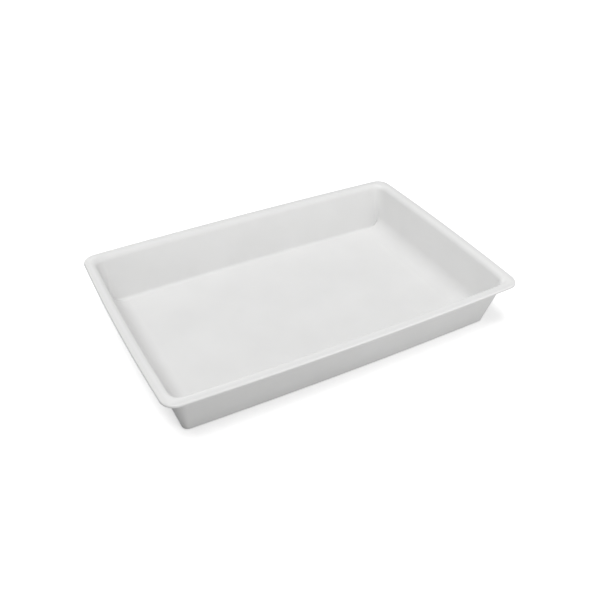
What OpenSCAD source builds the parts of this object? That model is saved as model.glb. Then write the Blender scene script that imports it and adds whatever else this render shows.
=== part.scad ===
// Developing tray: one moulded plastic basin with a flat floor, sloping walls, a rolled lip
// and a low foot ring that lifts the floor clear of the table.
// X runs along the tray, Y across it and Z up. The origin is the middle of the footprint,
// on the plane that the foot ring stands on.

/* [Overall size] */
// Length over the lip
tray_length = 400; // [260:1:600]
// Width over the lip
tray_width = 270; // [180:1:450]
// Height from the table to the top of the lip
tray_height = 58; // [40:1:90]
// Radius of the lip's outer corners, seen from above
lip_corner_radius = 14; // [8:0.5:22]
// How far the long walls bow outwards between their corners
side_bow = 3.5; // [0:0.5:6]
// How far the short walls' lip bows outwards between its corners; at the table they are straight
end_bow = 3; // [0:0.5:6]

/* [Walls] */
// Thickness of the moulding
wall = 2.3; // [1.5:0.1:2.8]
// Slope of the walls away from vertical, in degrees
draft = 15; // [5:0.5:20]
// Radius of the walls' outer corners just under the lip
top_corner_radius = 13.5; // [12:0.5:24]
// Radius of the walls' outer corners where they meet the table
base_corner_radius = 6; // [5:0.5:16]
// Rounding of the outer edge along the table
base_edge_radius = 2; // [0.5:0.1:3]

/* [Lip] */
// Distance from the lip's outer edge to the inner wall, measured at the lip's top
lip_reach = 10.8; // [10:0.1:14]
// Radius that carries the inner wall over into the lip
lip_roll_radius = 7; // [5:0.1:8]
// Height of the bead along the lip's outer edge
bead_height = 3; // [2.5:0.1:4]
// Width of that bead
bead_width = 2.6; // [2.5:0.1:3.5]
// Rounding of the bead's upper edge
bead_top_radius = 1.6; // [0.5:0.1:1.8]
// Rounding of the bead's lower edge
bead_bottom_radius = 0.7; // [0.2:0.1:0.9]

/* [Floor] */
// Thickness of the floor
floor_thickness = 2.5; // [1.5:0.1:4]
// Height of the floor's underside above the table
foot_height = 2.5; // [1:0.1:6]
// Width of the foot ring's flat sole
foot_width = 7; // [4:0.1:15]
// Chamfer where the foot ring's inner side meets the floor's underside
recess_chamfer = 0.6; // [0.2:0.1:0.9]
// Fillet between the floor and the two long walls
side_fillet = 4; // [1:0.1:6]
// Fillet between the floor and the two short walls
end_fillet = 21; // [3:0.1:24]
// Radius of the floor's corners inside the fillets
floor_corner_radius = 3; // [1:0.1:5]

/* [Hidden] */
tray_colour = [0.93, 0.93, 0.925];

// Segments along each side, in each corner, in each small rounding and in each large one
side_steps = 6;
corner_steps = 8;
small_steps = 3;
large_steps = 7;

floor_top = foot_height + floor_thickness;
// The turn between a level surface and a sloping wall, and how much length it takes
turn = 90 - draft;
turn_length = tan(turn / 2);
// Where the lip's flat top ends and its roll begins
roll_start = lip_reach - lip_roll_radius * turn_length;

// Inset of the walls' faces from the lip's outer edge, at height z
function inner_inset(z) = lip_reach + (tray_height - z) * tan(draft);
function outer_inset(z) = inner_inset(z) - wall / cos(draft);

// Inset of the walls' corner centres at height z: they lean inwards on the way down
top_centre = outer_inset(tray_height) + top_corner_radius;
base_centre = outer_inset(0) + base_corner_radius;
function centre_inset(z) = top_centre + (base_centre - top_centre) * (tray_height - z) / tray_height;

// Points [inset, z] along an arc about [u, z]
function arc(u, z, radius, from, to, steps) =
    [for (i = [0:steps]) let (a = from + (to - from) * i / steps)
        [u + radius * cos(a), z + radius * sin(a)]];

// A ring is [end inset, side inset, end height, side height, corner radius].
// These have the same section on all four sides: one follows the walls, one the lip's outer edge.
function wall_ring(p) = [p[0], p[0], p[1], p[1], centre_inset(p[1]) - p[0]];
function edge_ring(p) = [p[0], p[0], p[1], p[1], lip_corner_radius - p[0]];

// The underside: the raised floor, down the inside of the foot ring and across its sole
sole_outer = outer_inset(0) + base_edge_radius * turn_length;
sole_inner = sole_outer + foot_width;
recess_inset = sole_inner + foot_height * tan(draft);
recess_corner_radius = 2;
function recess_ring(inset, z) = [inset, inset, z, z, recess_corner_radius];
underside = [
    recess_ring(recess_inset + recess_chamfer, foot_height),
    recess_ring(recess_inset, foot_height - recess_chamfer),
    recess_ring(sole_inner, 0)
];

// The outside: round the base edge, up the wall and out under the lip
base_edge = arc(sole_outer, base_edge_radius, base_edge_radius, 270, 180 + draft, small_steps);
lip_under = arc(roll_start, tray_height - lip_roll_radius, lip_roll_radius - wall, draft, 90, large_steps);

// The bead along the lip's outer edge, from its inner foot round to the lip's top
bead_slope = 0.8;
bead_bottom = tray_height - bead_height;
bead = concat(
    [[bead_width + bead_slope, tray_height - wall], [bead_width, bead_bottom]],
    arc(bead_bottom_radius, bead_bottom + bead_bottom_radius, bead_bottom_radius, 270, 180, small_steps),
    arc(bead_top_radius, tray_height - bead_top_radius, bead_top_radius, 180, 90, small_steps)
);

// The inside: over the roll and down the wall
lip_roll = arc(roll_start, tray_height - lip_roll_radius, lip_roll_radius, 90, draft, large_steps);

// The fillets at the floor, wider on the short walls than on the long ones
function fillet(radius) =
    arc(inner_inset(floor_top) + radius * turn_length, floor_top + radius, radius,
        180 + draft, 270, large_steps);
wall_corner_radius = centre_inset(floor_top) - inner_inset(floor_top);
end_arc = fillet(end_fillet);
side_arc = fillet(side_fillet);
floor_rings = [for (i = [0:large_steps])
    [end_arc[i][0], side_arc[i][0], end_arc[i][1], side_arc[i][1],
     wall_corner_radius + (floor_corner_radius - wall_corner_radius) * i / large_steps]];

rings = concat(
    underside,
    [for (p = concat(base_edge, lip_under)) wall_ring(p)],
    [for (p = bead) edge_ring(p)],
    [for (p = lip_roll) wall_ring(p)],
    floor_rings
);

// The point at angle a on a ring's corner
function corner_point(ring, corner, a) = [
    sign_x(corner) * (tray_length / 2 - ring[0] - ring[4]) + ring[4] * cos(a),
    sign_y(corner) * (tray_width / 2 - ring[1] - ring[4]) + ring[4] * sin(a),
    ring[2] + (ring[3] - ring[2]) * pow(sin(a), 2)
];
function sign_x(corner) = (corner == 0 || corner == 3) ? 1 : -1;
function sign_y(corner) = (corner < 2) ? 1 : -1;

// A point moved inwards by how far it lies from the middle of its side, which leaves the sides bowed.
// share rises smoothly from 0 on the tray's middle line to 1 at the lip's edge.
function share(t) = t * (3 - t * t) / 2;
function bowed(p) =
    let (u = 2 * p[0] / tray_length, v = 2 * p[1] / tray_width, up = p[2] / tray_height)
    [p[0] - end_bow * up * share(u) * v * v, p[1] - side_bow * share(v) * u * u, p[2]];

// The points of a ring, anticlockwise from above, starting at the +X end: each corner, then a side
function ring_points(ring) = [
    for (corner = [0:3])
        let (
            turned = [for (i = [0:corner_steps])
                corner_point(ring, corner, 90 * (corner + i / corner_steps))],
            from = turned[corner_steps],
            to = corner_point(ring, (corner + 1) % 4, 90 * (corner + 1)),
            side = [for (i = [1:side_steps - 1]) from + (to - from) * i / side_steps]
        )
        each [for (p = concat(turned, side)) bowed(p)]
];

// A closed skin over a stack of rings, with a level cap on the first and the last
module skin(stack) {
    around = 4 * (corner_steps + side_steps);
    last = len(stack) - 1;
    points = [for (ring = stack) each ring_points(ring)];
    sides = [for (j = [0:last - 1], i = [0:around - 1])
        let (a = j * around + i, b = j * around + (i + 1) % around)
        each [[a, a + around, b], [b, a + around, b + around]]];
    first_cap = [for (i = [0:around - 1]) i];
    last_cap = [for (i = [around - 1:-1:0]) last * around + i];
    polyhedron(points, concat(sides, [first_cap, last_cap]), convexity = 4);
}

module tray() {
    color(tray_colour) skin(rings);
}

tray();
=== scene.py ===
import math
from typing import NamedTuple

import bpy
import numpy as np
from mathutils import Matrix, Vector


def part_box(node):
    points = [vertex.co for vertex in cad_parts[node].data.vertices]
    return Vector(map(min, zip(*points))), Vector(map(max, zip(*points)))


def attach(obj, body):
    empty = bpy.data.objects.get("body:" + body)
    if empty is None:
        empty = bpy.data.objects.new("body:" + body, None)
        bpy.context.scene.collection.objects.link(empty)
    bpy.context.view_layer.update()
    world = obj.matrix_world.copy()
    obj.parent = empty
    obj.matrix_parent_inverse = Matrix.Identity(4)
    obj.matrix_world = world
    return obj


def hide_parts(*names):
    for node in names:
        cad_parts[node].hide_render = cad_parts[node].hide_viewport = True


# A developing tray: one moulded basin, on a plain white studio floor. Lengths are in metres.
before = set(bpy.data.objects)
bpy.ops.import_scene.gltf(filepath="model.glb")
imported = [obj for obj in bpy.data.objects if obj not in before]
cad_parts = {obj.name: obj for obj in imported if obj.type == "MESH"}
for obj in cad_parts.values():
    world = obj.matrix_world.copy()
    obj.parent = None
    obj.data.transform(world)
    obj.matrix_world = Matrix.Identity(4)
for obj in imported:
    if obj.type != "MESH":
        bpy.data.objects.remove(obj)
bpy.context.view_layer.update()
tray_low, tray_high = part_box("tray")
MM = 0.001

# The moulding's section, as the CAD has it
LENGTH, WIDTH, HEIGHT = tray_high - tray_low
WALL = 2.3 * MM
DRAFT = math.radians(15)
LIP_CORNER_RADIUS = 14 * MM
TOP_CORNER_RADIUS = 13.5 * MM
BASE_CORNER_RADIUS = 6 * MM
SIDE_BOW = 3.5 * MM
END_BOW = 3 * MM
BASE_EDGE_RADIUS = 2 * MM
LIP_REACH = 10.8 * MM
LIP_ROLL_RADIUS = 7 * MM
BEAD_HEIGHT = 3 * MM
BEAD_WIDTH = 2.6 * MM
BEAD_TOP_RADIUS = 1.6 * MM
BEAD_BOTTOM_RADIUS = 0.7 * MM
BEAD_SLOPE = 0.8 * MM
FLOOR_THICKNESS = 2.5 * MM
FOOT_HEIGHT = 2.5 * MM
FOOT_WIDTH = 7 * MM
SIDE_FILLET = 4 * MM
END_FILLET = 21 * MM
FLOOR_CORNER_RADIUS = 3 * MM
RECESS_CORNER_RADIUS = 2 * MM

# Roundings and marks too fine for the CAD
RECESS_FILLET = 1.2 * MM
SOLE_EDGE_RADIUS = 0.7 * MM
BEAD_FOOT_RADIUS = 0.35 * MM
PARTING_LINE_HEIGHT = 1.05 * MM
PARTING_LINE_WIDTH = 0.5 * MM
PARTING_LINE_PROUD = 0.08 * MM

# How far the lip has sagged between its corners and the floor has risen, as the moulding cooled
LIP_SAG = 0.35 * MM
END_SAG_SHARE = 0.5
FLOOR_CROWN = 0.5 * MM
FOOT_STAYS_FLAT = 1 * MM

# How far from the edge or the sole the wear of each place reaches. On the lip the same reach also bounds a
# painted shade that damps the lip's highlight.
RIM_WEAR_AND_SHADE_DEPTH = 3 * MM
RIM_WEAR_AND_SHADE_FULL = 1 * MM
RIM_WEAR_AND_SHADE_REACH = 7 * MM
SOLE_WEAR_HEIGHT = 1.5 * MM
BASIN_WEAR_EDGE = 0.3 * MM
BASIN_WEAR_HEIGHT = 14 * MM

# Colours of the plastic, of what its marks leave, and of the painted shade on the lip
DULL_WHITE = (0.748, 0.748, 0.744, 1)
PALE_WHITE = (0.772, 0.772, 0.768, 1)
# Painted shade: the lip's edge is painted this darker white to damp the highlight it catches
LIP_PAINTED_SHADE = (0.712, 0.712, 0.708, 1)
SCUFFED_LIP = (0.78, 0.78, 0.775, 1)
SCRATCHED_FLOOR = (0.81, 0.81, 0.81, 1)
RUBBED_SOLE = (0.58, 0.575, 0.56, 1)

# The studio floor: how much light it gives back to the tray, and the white and the glow that the camera sees
FLOOR_REACH = 30 * LENGTH
FLOOR_GIVES_BACK = 0.35
FLOOR_SHOWN = 0.96
FLOOR_GLOW = 0.31

# Where the photographer's camera stands about the tray, and how it is set
CAMERA_AZIMUTH = math.radians(-28.85)
CAMERA_ELEVATION = math.radians(36.91)
CAMERA_ROLL = math.radians(0.54)
CAMERA_DISTANCE = 0.8264
CAMERA_TO_RIGHT = 0.0040
CAMERA_TO_TOP = 0.0142
CAMERA_LENS = 44.3
CAMERA_SENSOR = 36

# Faces along the mesh
CORNER_STEPS = 18
LONG_STEPS = 56
SHORT_STEPS = 38
WALL_STEPS = 9
FILLET_STEPS = 12
SUPPORT = 0.5 * MM

FLOOR_TOP = FOOT_HEIGHT + FLOOR_THICKNESS
TURN_LENGTH = math.tan((math.pi / 2 - DRAFT) / 2)
ROLL_START = LIP_REACH - LIP_ROLL_RADIUS * TURN_LENGTH
DRAFT_DEGREES = math.degrees(DRAFT)


class Ring(NamedTuple):
    """A closed loop round the tray: insets from the lip's outer edge, and heights, on the ends and sides."""
    end_inset: float
    side_inset: float
    end_z: float
    side_z: float
    corner_radius: float


def inner_inset(z):
    return LIP_REACH + (HEIGHT - z) * math.tan(DRAFT)


def outer_inset(z):
    return inner_inset(z) - WALL / math.cos(DRAFT)


def centre_inset(z):
    """Inset of the walls' corner centres, which lean inwards on the way down."""
    top_centre = outer_inset(HEIGHT) + TOP_CORNER_RADIUS
    base_centre = outer_inset(0) + BASE_CORNER_RADIUS
    return top_centre + (base_centre - top_centre) * (HEIGHT - z) / HEIGHT


def wall_ring(point):
    """The ring through a point (inset, z) of a section that is the same on all four sides."""
    inset, z = point
    return Ring(inset, inset, z, z, centre_inset(z) - inset)


def edge_ring(point):
    """The same on the bead and the lip's top, where the corners pass from the lip's radius to the wall's."""
    inset, z = point
    bead_end = BEAD_WIDTH + BEAD_SLOPE
    passed = min(1, max(0, (inset - bead_end) / (ROLL_START - bead_end)))
    centre = LIP_CORNER_RADIUS + (centre_inset(HEIGHT) - LIP_CORNER_RADIUS) * passed
    return Ring(inset, inset, z, z, centre - inset)


def rising(value, start, end):
    """How far value has come from start to end, from 0 to 1."""
    return np.clip((value - start) / (end - start), 0, 1)


def arc(inset, z, radius, start, end, steps):
    """Points (inset, z) along an arc about a centre, between two angles in degrees."""
    angles = np.radians(np.linspace(start, end, steps + 1))
    return [(inset + radius * math.cos(a), z + radius * math.sin(a)) for a in angles]


def straight(p, q, steps):
    """Points between p and q, with one close to each end so that the faces beside an arc shade flat."""
    p, q = np.array(p), np.array(q)
    near = min(SUPPORT / np.linalg.norm(q - p), 0.3)
    shares = [near, *np.linspace(0, 1, steps + 1)[1:-1], 1 - near]
    return [tuple(p + (q - p) * t) for t in shares]


def underside_rings():
    """The raised floor's underside, down the inside of the foot ring and across its sole."""
    sole_outer = outer_inset(0) + BASE_EDGE_RADIUS * TURN_LENGTH
    sole_inner = sole_outer + FOOT_WIDTH

    def face(z):
        return sole_inner + z * math.tan(DRAFT)

    slant = 1 / math.cos(DRAFT)
    ceiling = arc(face(FOOT_HEIGHT - RECESS_FILLET) + RECESS_FILLET * slant, FOOT_HEIGHT - RECESS_FILLET,
                  RECESS_FILLET, 90, 180 - DRAFT_DEGREES, steps=4)
    edge = arc(face(SOLE_EDGE_RADIUS) - SOLE_EDGE_RADIUS * slant, SOLE_EDGE_RADIUS,
               SOLE_EDGE_RADIUS, -DRAFT_DEGREES, -90, steps=4)
    start = (ceiling[0][0] + SUPPORT, FOOT_HEIGHT)
    recess = [start, *ceiling, *straight(ceiling[-1], edge[0], steps=1), *edge]
    rings = [Ring(u, u, z, z, RECESS_CORNER_RADIUS) for u, z in recess]
    for u, z in straight(edge[-1], (sole_outer, 0), steps=2):
        passed = (edge[-1][0] - u) / (edge[-1][0] - sole_outer)
        radius = RECESS_CORNER_RADIUS + (centre_inset(0) - sole_outer - RECESS_CORNER_RADIUS) * passed
        rings.append(Ring(u, u, z, z, radius))
    return rings


def outside_points():
    """Round the base edge, up the outer wall and out under the lip."""
    sole_outer = outer_inset(0) + BASE_EDGE_RADIUS * TURN_LENGTH
    base = arc(sole_outer, BASE_EDGE_RADIUS, BASE_EDGE_RADIUS, 270, 180 + DRAFT_DEGREES, steps=6)
    under = arc(ROLL_START, HEIGHT - LIP_ROLL_RADIUS, LIP_ROLL_RADIUS - WALL, DRAFT_DEGREES, 90, steps=10)
    return [*base, *straight(base[-1], under[0], WALL_STEPS), *under]


def bead_points():
    """The bead along the lip's edge, with the parting line that the mould's two halves leave on it."""
    bottom = HEIGHT - BEAD_HEIGHT
    foot_centre = (BEAD_WIDTH - BEAD_FOOT_RADIUS, bottom + BEAD_FOOT_RADIUS)
    foot = arc(*foot_centre, BEAD_FOOT_RADIUS, 0, -90, steps=3)
    lower = arc(BEAD_BOTTOM_RADIUS, bottom + BEAD_BOTTOM_RADIUS, BEAD_BOTTOM_RADIUS, 270, 180, steps=5)
    upper = arc(BEAD_TOP_RADIUS, HEIGHT - BEAD_TOP_RADIUS, BEAD_TOP_RADIUS, 180, 90, steps=8)
    seam = bottom + PARTING_LINE_HEIGHT
    half = PARTING_LINE_WIDTH / 2
    line = [(0, seam - half), (-PARTING_LINE_PROUD, seam), (0, seam + half)]
    points = [(BEAD_WIDTH + BEAD_SLOPE, HEIGHT - WALL), *foot, *lower, *line, *upper]
    # The bead's face stands back by the line's height, so that the line ends at the lip's outer edge
    return [(u + PARTING_LINE_PROUD * rising(u, BEAD_TOP_RADIUS, 0), z) for u, z in points]


def lip_top_points():
    return straight((BEAD_TOP_RADIUS, HEIGHT), (ROLL_START, HEIGHT), steps=4)


def roll_points():
    """From the lip's top over into the inner wall."""
    return arc(ROLL_START, HEIGHT - LIP_ROLL_RADIUS, LIP_ROLL_RADIUS, 90, DRAFT_DEGREES, steps=14)


def fillet(radius):
    """From the inner wall round into the floor."""
    return arc(inner_inset(FLOOR_TOP) + radius * TURN_LENGTH, FLOOR_TOP + radius, radius,
               180 + DRAFT_DEGREES, 270, FILLET_STEPS)


def blended_rings(end_points, side_points, first_radius, last_radius):
    """Rings that follow one section on the ends and another on the sides, as the corner radius changes."""
    last = len(end_points) - 1
    rings = []
    for i, (e, s) in enumerate(zip(end_points, side_points)):
        radius = first_radius + (last_radius - first_radius) * i / last
        rings.append(Ring(e[0], s[0], e[1], s[1], radius))
    return rings


def floor_rings():
    """Down the inner wall and round the fillets, which are wider on the ends than on the sides."""
    end_arc, side_arc = fillet(END_FILLET), fillet(SIDE_FILLET)
    roll_end = roll_points()[-1]
    end_wall = straight(roll_end, end_arc[0], WALL_STEPS)
    side_wall = straight(roll_end, side_arc[0], WALL_STEPS)
    top_radius = centre_inset(roll_end[1]) - roll_end[0]
    foot_radius = centre_inset(FLOOR_TOP) - inner_inset(FLOOR_TOP)
    rings = blended_rings(end_wall, side_wall, top_radius, foot_radius)
    rings += blended_rings(end_arc, side_arc, foot_radius, FLOOR_CORNER_RADIUS)
    last = rings[-1]
    rings.append(Ring(last.end_inset + SUPPORT, last.side_inset + SUPPORT, FLOOR_TOP, FLOOR_TOP,
                      FLOOR_CORNER_RADIUS - SUPPORT))
    return rings


def ring_points(ring):
    """A ring's points, anticlockwise from above. Each side's own points follow the corner before it."""
    points = []
    for corner in range(4):
        sign_x = 1 if corner in (0, 3) else -1
        sign_y = 1 if corner < 2 else -1
        x = LENGTH / 2 - ring.end_inset - ring.corner_radius
        y = WIDTH / 2 - ring.side_inset - ring.corner_radius
        for a in np.linspace(corner, corner + 1, CORNER_STEPS + 1) * math.pi / 2:
            z = ring.end_z + (ring.side_z - ring.end_z) * math.sin(a) ** 2
            points.append((sign_x * x + ring.corner_radius * math.cos(a),
                           sign_y * y + ring.corner_radius * math.sin(a), z))
        start = np.array(points[-1])
        end = start * ((-1, 1, 1) if corner % 2 == 0 else (1, -1, 1))
        steps = LONG_STEPS if corner % 2 == 0 else SHORT_STEPS
        points += [tuple(start + (end - start) * t) for t in np.linspace(0, 1, steps + 1)[1:-1]]
    return np.array(points)


def ruled_row(left, right, bottom, top, u):
    """Inner points of one row of a patch with four edges, u of the way from its left edge to its right one.
    left and right are whole edges. bottom and top are the row's own ends."""
    v = np.linspace(0, 1, len(left))[1:-1, None]
    between_ends = (1 - u) * left[1:-1] + u * right[1:-1]
    between_sides = (1 - v) * bottom + v * top
    low_corners = (1 - v) * ((1 - u) * left[0] + u * right[0])
    high_corners = v * ((1 - u) * left[-1] + u * right[-1])
    return between_ends + between_sides - low_corners - high_corners


class Skin:
    """Collects the vertices and faces of one closed mesh."""

    def __init__(self):
        self.points = []
        self.faces = []

    def add(self, points):
        """Adds points and returns their numbers."""
        first = len(self.points)
        self.points += [tuple(p) for p in points]
        return list(range(first, len(self.points)))

    def join(self, lower, upper):
        """Faces between two closed loops with as many points each, facing out when they run anticlockwise."""
        for i, (a, b) in enumerate(zip(lower, upper)):
            j = (i + 1) % len(lower)
            self.faces.append((a, lower[j], upper[j], b))

    def panel(self, loop, flip):
        """Fills a rounded rectangle with a grid whose lines run between its opposite sides."""
        across, along = SHORT_STEPS + CORNER_STEPS, LONG_STEPS + CORNER_STEPS
        # start runs up the +X end, back along the +Y side, down the -X end and out along the -Y side
        half = CORNER_STEPS // 2
        start = loop[-half:] + loop[:-half]
        right = start[:across + 1]
        top = start[across:across + along + 1][::-1]
        left = start[across + along:2 * across + along + 1][::-1]
        bottom = start[2 * across + along:] + start[:1]
        grid = np.zeros((along + 1, across + 1), int)
        grid[0], grid[-1], grid[:, 0], grid[:, -1] = left, right, bottom, top
        at = np.array(self.points)
        for i in range(1, along):
            grid[i, 1:-1] = self.add(ruled_row(at[left], at[right], at[bottom[i]], at[top[i]], i / along))
        for i in range(along):
            for j in range(across):
                face = [grid[i, j], grid[i + 1, j], grid[i + 1, j + 1], grid[i, j + 1]]
                self.faces.append(tuple(int(f) for f in (face[::-1] if flip else face)))


def centre_share(t):
    """Rises smoothly from 0 on the tray's middle line to 1 at one lip edge, and falls to -1 at the other."""
    return t * (3 - t * t) / 2


def bowed(points):
    """Moves every point inwards, the more the farther it lies from the middle of its side, which leaves the
    sides bowed outward. The short walls are bowed at the lip and straight at the table."""
    x, y, z = points.T
    u, v, up = x / (LENGTH / 2), y / (WIDTH / 2), z / HEIGHT
    bowed_x = x - END_BOW * up * centre_share(u) * v ** 2
    bowed_y = y - SIDE_BOW * centre_share(v) * u ** 2
    return np.stack([bowed_x, bowed_y, z], axis=1)


def out_of_true(points):
    """Lets the lip sag between the corners, and crowns the floor."""
    x, y, z = points.T
    u, v, up = x / (LENGTH / 2), y / (WIDTH / 2), z / HEIGHT
    along, across = np.cos(u * math.pi / 2), np.cos(v * math.pi / 2)
    on_side, on_end = np.clip(np.abs(v), 0, 1) ** 4, np.clip(np.abs(u), 0, 1) ** 6
    sag = np.maximum(along * on_side, END_SAG_SHARE * across * on_end) * up ** 2
    within_walls = np.clip(1 - np.abs(u) ** 4, 0, 1) * np.clip(1 - np.abs(v) ** 4, 0, 1)
    near_floor = rising(z, 2 * FLOOR_TOP, 0) * (z > FOOT_STAYS_FLAT)
    moved = points.copy()
    moved[:, 2] += FLOOR_CROWN * within_walls * along * across * near_floor - LIP_SAG * sag
    return moved


def wear_and_shade_masks(points):
    """Where hands, tongs and the bench rub: the lip's edge, the basin's floor and the sole. rim also marks
    where the lip's edge gets a painted shade.
    outside marks the outer and under faces, whose grain is coarser."""
    x, y, z = points.T
    inset = np.minimum(LENGTH / 2 - np.abs(x), WIDTH / 2 - np.abs(y))
    rim = rising(z, HEIGHT - RIM_WEAR_AND_SHADE_DEPTH, HEIGHT - RIM_WEAR_AND_SHADE_FULL) * rising(inset, RIM_WEAR_AND_SHADE_REACH, 0)
    sole = rising(z, SOLE_WEAR_HEIGHT, 0)
    basin_top = FLOOR_TOP + BASIN_WEAR_HEIGHT
    basin = rising(z, FLOOR_TOP - BASIN_WEAR_EDGE, FLOOR_TOP) * rising(z, basin_top, FLOOR_TOP)
    basin *= inset > inner_inset(basin_top)
    middle = (inner_inset(z) + outer_inset(z)) / 2
    outside = ((inset < middle) & (z < HEIGHT - BEAD_HEIGHT)) | (z < (FOOT_HEIGHT + FLOOR_TOP) / 2)
    return {"rim": rim, "sole": sole, "basin": basin, "outside": outside}


def make_tray():
    """The whole moulding as one closed mesh of quads."""
    skin = Skin()
    rings = underside_rings()
    rings += [wall_ring(p) for p in outside_points()]
    rings += [edge_ring(p) for p in bead_points() + lip_top_points()]
    rings += [wall_ring(p) for p in roll_points()]
    rings += floor_rings()
    loops = [skin.add(ring_points(r)) for r in rings]
    for lower, upper in zip(loops, loops[1:]):
        skin.join(lower, upper)
    skin.panel(loops[-1], flip=False)
    skin.panel(loops[0], flip=True)

    points = np.array(skin.points)
    masks = wear_and_shade_masks(points)
    mesh = bpy.data.meshes.new("tray_moulding")
    mesh.from_pydata(bowed(out_of_true(points)).tolist(), [], skin.faces)
    for name, values in masks.items():
        mask = mesh.attributes.new(name, "FLOAT", "POINT")
        mask.data.foreach_set("value", values.astype(np.float32))
    mesh.shade_smooth()
    mesh.validate()
    tray = bpy.data.objects.new("tray_moulding", mesh)
    bpy.context.scene.collection.objects.link(tray)
    return tray


def add_node(tree, kind, inputs=None, **settings):
    """Adds a shader node. inputs gives each socket a value, or the output that it is linked to."""
    node = tree.nodes.new(kind)
    for name, value in settings.items():
        setattr(node, name, value)
    for key, value in (inputs or {}).items():
        if isinstance(value, bpy.types.NodeSocket):
            tree.links.new(value, node.inputs[key])
        else:
            node.inputs[key].default_value = value
    return node


def noise(tree, place, scale, detail=3, roughness=0.55):
    """A noise whose features are about 1 / scale metres across."""
    inputs = {"Vector": place, "Scale": scale, "Detail": detail, "Roughness": roughness}
    return add_node(tree, "ShaderNodeTexNoise", inputs).outputs["Fac"]


def spread(tree, value, low, high, to_low=0.0, to_high=1.0):
    """Maps low to high on to_low to to_high, and clamps the rest."""
    inputs = {"Value": value, "From Min": low, "From Max": high, "To Min": to_low, "To Max": to_high}
    return add_node(tree, "ShaderNodeMapRange", inputs).outputs["Result"]


def combine(tree, operation, a, b):
    return add_node(tree, "ShaderNodeMath", {0: a, 1: b}, operation=operation).outputs[0]


def mask_of(tree, name):
    return add_node(tree, "ShaderNodeAttribute", attribute_name=name).outputs["Fac"]


def tint(tree, factor, under, over):
    """under, covered by over as far as factor says. A mix node's colours are its sockets 6 and 7."""
    return add_node(tree, "ShaderNodeMix", {0: factor, 6: under, 7: over}, data_type="RGBA").outputs[2]


def hairlines(tree, place, angle, wander):
    """Fine straight scratches at one angle, in patches about 1 / wander metres across."""
    inputs = {"Vector": place, "Rotation": (0, 0, math.radians(angle)), "Scale": (9, 900, 9)}
    stretched = add_node(tree, "ShaderNodeMapping", inputs).outputs["Vector"]
    lines = spread(tree, noise(tree, stretched, scale=1, detail=2), low=0.66, high=0.72)
    patches = spread(tree, noise(tree, place, wander, detail=2), low=0.5, high=0.62)
    return combine(tree, "MULTIPLY", lines, patches)


def bumped(tree, height, distance, strength, under=None):
    """A bump of the given height in metres, on top of another if there is one."""
    inputs = {"Height": height, "Distance": distance, "Strength": strength}
    if under is not None:
        inputs["Normal"] = under
    return add_node(tree, "ShaderNodeBump", inputs).outputs["Normal"]


def plastic():
    """Satin off-white polypropylene: moulded grain, faint mottling, a scuffed lip and sole, and use marks,
    with a painted shade darkening the lip's edge.
    """
    material = bpy.data.materials.new("white_polypropylene")
    material.use_nodes = True
    tree = material.node_tree
    shader = tree.nodes["Principled BSDF"]
    place = add_node(tree, "ShaderNodeTexCoord").outputs["Object"]
    rim, sole, basin, outside = (mask_of(tree, n) for n in ("rim", "sole", "basin", "outside"))

    grain = noise(tree, place, scale=1100, detail=4, roughness=0.6)
    texture = noise(tree, place, scale=520, detail=5, roughness=0.7)
    clouds = noise(tree, place, scale=22)
    swell = noise(tree, place, scale=12, detail=2)
    nicks = spread(tree, noise(tree, place, scale=260, detail=6, roughness=0.7), low=0.56, high=0.66)
    one_way = hairlines(tree, place, angle=24, wander=31)
    other_way = hairlines(tree, place, angle=-61, wander=37)
    scratches = combine(tree, "MULTIPLY", combine(tree, "MAXIMUM", one_way, other_way), basin)
    rim_scuffs = combine(tree, "MULTIPLY", rim, nicks)
    sole_scuffs = combine(tree, "MULTIPLY", sole, spread(tree, texture, low=0.42, high=0.6))

    colour = tint(tree, spread(tree, clouds, low=0.3, high=0.7), DULL_WHITE, PALE_WHITE)
    # Painted shade: darkens the lip's edge to damp its highlight, under the real scuffs
    colour = tint(tree, spread(tree, rim, low=0, high=0.5), colour, LIP_PAINTED_SHADE)
    colour = tint(tree, combine(tree, "MULTIPLY", rim_scuffs, 0.4), colour, SCUFFED_LIP)
    colour = tint(tree, combine(tree, "MULTIPLY", scratches, 0.2), colour, SCRATCHED_FLOOR)
    colour = tint(tree, combine(tree, "MULTIPLY", sole_scuffs, 0.45), colour, RUBBED_SOLE)
    tree.links.new(colour, shader.inputs["Base Color"])

    roughness = spread(tree, clouds, low=0.3, high=0.7, to_low=0.37, to_high=0.45)
    rougher = ((outside, 0.1), (rim_scuffs, 0.12), (scratches, 0.14), (sole_scuffs, 0.2))
    for where, amount in rougher:
        roughness = combine(tree, "ADD", roughness, combine(tree, "MULTIPLY", where, amount))
    tree.links.new(roughness, shader.inputs["Roughness"])

    coarse = combine(tree, "MULTIPLY", texture, outside)
    normal = bumped(tree, swell, distance=0.5 * MM, strength=0.5)
    normal = bumped(tree, grain, distance=0.02 * MM, strength=0.5, under=normal)
    normal = bumped(tree, coarse, distance=0.08 * MM, strength=0.5, under=normal)
    normal = bumped(tree, rim_scuffs, distance=-0.03 * MM, strength=0.6, under=normal)
    normal = bumped(tree, scratches, distance=-0.02 * MM, strength=0.6, under=normal)
    tree.links.new(normal, shader.inputs["Normal"])

    shader.inputs["IOR"].default_value = 1.49
    shader.inputs["Subsurface Weight"].default_value = 0.1
    shader.inputs["Subsurface Radius"].default_value = (1, 1, 0.9)
    shader.inputs["Subsurface Scale"].default_value = 2.5 * MM
    return material


def grey(level):
    return (level, level, level, 1)


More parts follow.
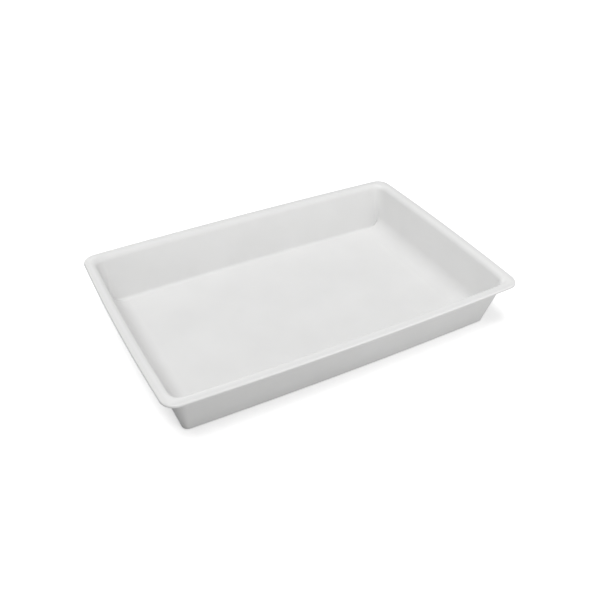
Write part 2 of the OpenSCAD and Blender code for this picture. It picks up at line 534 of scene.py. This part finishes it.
def make_floor():
    """A studio floor, wide enough to fill every view. The camera sees it white, with a glow of its own.
    To the tray it gives back only as much light as a grey floor does."""
    mesh = bpy.data.meshes.new("studio_floor")
    corners = [(x * FLOOR_REACH, y * FLOOR_REACH, 0) for x, y in ((-1, -1), (1, -1), (1, 1), (-1, 1))]
    mesh.from_pydata(corners, [], [(0, 1, 2, 3)])
    material = bpy.data.materials.new("studio_white")
    material.use_nodes = True
    tree = material.node_tree
    tree.nodes.remove(tree.nodes["Principled BSDF"])
    white = add_node(tree, "ShaderNodeBsdfDiffuse", {"Color": grey(FLOOR_SHOWN)}).outputs["BSDF"]
    glow = add_node(tree, "ShaderNodeEmission", {"Strength": FLOOR_GLOW}).outputs["Emission"]
    seen = add_node(tree, "ShaderNodeAddShader", {0: white, 1: glow}).outputs["Shader"]
    given = add_node(tree, "ShaderNodeBsdfDiffuse", {"Color": grey(FLOOR_GIVES_BACK)}).outputs["BSDF"]
    surface = to_camera(tree, seen, given)
    tree.links.new(surface, tree.nodes["Material Output"].inputs["Surface"])
    mesh.materials.append(material)
    floor = bpy.data.objects.new("studio_floor", mesh)
    floor.location.z = tray_low.z
    bpy.context.scene.collection.objects.link(floor)
    return floor


def to_camera(tree, seen, given):
    """A shader that the camera sees as one thing, while the rest of the scene is lit by another."""
    is_seen = add_node(tree, "ShaderNodeLightPath").outputs["Is Camera Ray"]
    return add_node(tree, "ShaderNodeMixShader", {"Fac": is_seen, 1: given, 2: seen}).outputs["Shader"]


def make_camera():
    """The photographer stands off the tray's left front and looks down, with the camera a little rolled."""
    level_out, height = math.cos(CAMERA_ELEVATION), math.sin(CAMERA_ELEVATION)
    back = Vector((math.sin(CAMERA_AZIMUTH) * level_out, -math.cos(CAMERA_AZIMUTH) * level_out, height))
    level = (-back).cross(Vector((0, 0, 1))).normalized()
    upright = level.cross(-back)
    right = math.cos(CAMERA_ROLL) * level + math.sin(CAMERA_ROLL) * upright
    up = math.cos(CAMERA_ROLL) * upright - math.sin(CAMERA_ROLL) * level
    data = bpy.data.cameras.new("camera")
    data.sensor_width = CAMERA_SENSOR
    data.lens = CAMERA_LENS
    camera = bpy.data.objects.new("camera", data)
    camera.matrix_world = Matrix((right, up, back)).transposed().to_4x4()
    camera.location = back * CAMERA_DISTANCE + right * CAMERA_TO_RIGHT + up * CAMERA_TO_TOP
    bpy.context.scene.collection.objects.link(camera)
    bpy.context.scene.camera = camera


class FarLight(NamedTuple):
    """A broad light at a great distance. Its brightness is what a white floor facing it would show."""
    azimuth: float
    elevation: float
    spread: float
    brightness: float


class Softbox(NamedTuple):
    """A square light near the tray, aimed at it."""
    azimuth: float
    elevation: float
    distance: float
    size: float
    power: float


# The room lights everything evenly. The main light hangs high, to the left and slightly to the front.
# One far light stands low behind the tray, and one softbox low in front, slightly to the right.
ROOM_BRIGHTNESS = 0.47
LIGHTS = {
    "overhead": FarLight(azimuth=200, elevation=75, spread=30, brightness=0.5),
    "behind": FarLight(azimuth=90, elevation=15, spread=30, brightness=0.2),
    "front": Softbox(azimuth=285, elevation=15, distance=0.9, size=0.5, power=2.8),
}


def towards(azimuth, elevation):
    """The direction at that azimuth, from +X towards +Y, and elevation, in degrees."""
    a, e = math.radians(azimuth), math.radians(elevation)
    return Vector((math.cos(a) * math.cos(e), math.sin(a) * math.cos(e), math.sin(e)))


def make_light():
    """A plain room that the camera sees white, with broad, soft lights."""
    world = bpy.data.worlds.new("room")
    world.use_nodes = True
    tree = world.node_tree
    given = tree.nodes["Background"]
    given.inputs["Color"].default_value = grey(1)
    given.inputs["Strength"].default_value = ROOM_BRIGHTNESS
    seen = add_node(tree, "ShaderNodeBackground", {"Color": grey(1), "Strength": 1.0})
    surface = to_camera(tree, seen.outputs["Background"], given.outputs["Background"])
    tree.links.new(surface, tree.nodes["World Output"].inputs["Surface"])
    bpy.context.scene.world = world
    for name, made in LIGHTS.items():
        direction = towards(made.azimuth, made.elevation)
        if isinstance(made, FarLight):
            data = bpy.data.lights.new(name, "SUN")
            data.angle = math.radians(made.spread)
            data.energy = made.brightness * math.pi
        else:
            data = bpy.data.lights.new(name, "AREA")
            data.size = made.size
            data.energy = made.power
        light = bpy.data.objects.new(name, data)
        light.rotation_euler = direction.to_track_quat("Z", "Y").to_euler()
        if isinstance(made, Softbox):
            light.location = direction * made.distance
            light.visible_camera = False
        bpy.context.scene.collection.objects.link(light)
    bpy.context.scene.view_settings.view_transform = "Standard"


tray = make_tray()
tray.data.materials.append(plastic())
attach(tray, "root")
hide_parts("tray")
floor = make_floor()
make_camera()
make_light()
